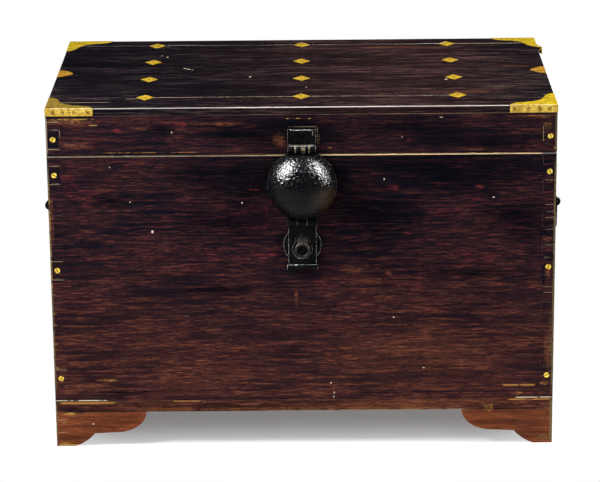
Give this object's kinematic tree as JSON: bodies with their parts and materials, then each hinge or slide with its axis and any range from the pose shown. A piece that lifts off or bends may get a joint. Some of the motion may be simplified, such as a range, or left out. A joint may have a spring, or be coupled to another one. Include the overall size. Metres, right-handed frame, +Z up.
{
  "type": "dowry chest",
  "caption": "Low hardwood chest on ogee bracket feet, with a flat hinged lid, dovetailed corners, brass corner mounts and lozenges, a domed iron hasp and drop handles.",
  "frame": {"origin": "on the floor, midway between the outermost points: the hasp's dome at the front, the hinge knuckles at the back, and the drop handles at the two ends", "axes": "+X along the chest to its right end as seen from the front, -Y out of the front, +Z up"},
  "size_m": [0.972, 0.6348, 0.6435],
  "materials": {
    "dark_hardwood": "old dark hardwood, oiled and worn, near black with red-brown figure",
    "bottom_wood": "plain sawn wood, unfinished",
    "brass": "old sheet brass, rubbed bright",
    "iron": "forged iron, blackened and polished by handling"
  },
  "bodies": {
    "chest": {"front_board": "dark_hardwood", "back_board": "dark_hardwood", "left_board": "dark_hardwood", "right_board": "dark_hardwood", "body_corner_screws": "brass", "front_base_rail": "dark_hardwood", "back_base_rail": "dark_hardwood", "left_base_rail": "dark_hardwood", "right_base_rail": "dark_hardwood", "bottom_bearer": "bottom_wood", "bottom_plank_1": "bottom_wood", "bottom_plank_2": "bottom_wood", "bottom_plank_3": "bottom_wood", "front_left_foot_face": "dark_hardwood", "front_right_foot_face": "dark_hardwood", "back_left_foot_face": "dark_hardwood", "back_right_foot_face": "dark_hardwood", "front_left_foot_side": "dark_hardwood", "front_right_foot_side": "dark_hardwood", "back_left_foot_side": "dark_hardwood", "back_right_foot_side": "dark_hardwood", "foot_blocks": "bottom_wood", "lock_plate": "iron", "staple": "iron", "body_iron_nails": "iron", "hinge_body_leaf_left": "iron", "hinge_body_leaf_right": "iron", "hinge_pins": "iron", "handle_eyes": "iron", "handle_roses": "iron"},
    "lid": {"lid_front_rim": "dark_hardwood", "lid_back_rim": "dark_hardwood", "lid_left_rim": "dark_hardwood", "lid_right_rim": "dark_hardwood", "lid_battens": "bottom_wood", "lid_front_strip": "dark_hardwood", "lid_panel": "dark_hardwood", "lid_back_strip": "dark_hardwood", "corner_mount_front_left": "brass", "corner_mount_front_right": "brass", "corner_mount_back_left": "brass", "corner_mount_back_right": "brass", "lozenges": "brass", "edge_tongue_left": "brass", "edge_tongue_right": "brass", "brass_tacks": "brass", "lozenge_nails": "brass", "lid_corner_screws": "brass", "hinge_lid_leaf_left": "iron", "hinge_lid_leaf_right": "iron", "lid_iron_nails": "iron", "hasp_leaf": "iron", "hasp_upper_pin": "iron"},
    "hasp": {"hasp_strap": "iron", "hasp_dome": "iron", "hasp_lower_pin": "iron"},
    "flap": {"hasp_flap": "iron"},
    "handle_left": {"bail_left": "iron"},
    "handle_right": {"bail_right": "iron"}
  },
  "joints": [
    {"name": "lid_hinge", "type": "hinge", "parent": "chest", "child": "lid", "pos_m": [0, 0.3104, 0.5555], "axis": [-1, 0, 0], "range_deg": [0, 100]},
    {"name": "hasp_swing", "type": "hinge", "parent": "lid", "child": "hasp", "pos_m": [0, -0.2549, 0.565], "axis": [-1, 0, 0], "range_deg": [0, 105]},
    {"name": "flap_swing", "type": "hinge", "parent": "hasp", "child": "flap", "pos_m": [0, -0.2554, 0.431], "axis": [-1, 0, 0], "range_deg": [0, 95]},
    {"name": "left_handle_swing", "type": "hinge", "parent": "chest", "child": "handle_left", "pos_m": [-0.4775, 0.028, 0.4], "axis": [0, 1, 0], "range_deg": [-14, 194]},
    {"name": "right_handle_swing", "type": "hinge", "parent": "chest", "child": "handle_right", "pos_m": [0.4775, 0.028, 0.4], "axis": [0, -1, 0], "range_deg": [-14, 194]}
  ]
}
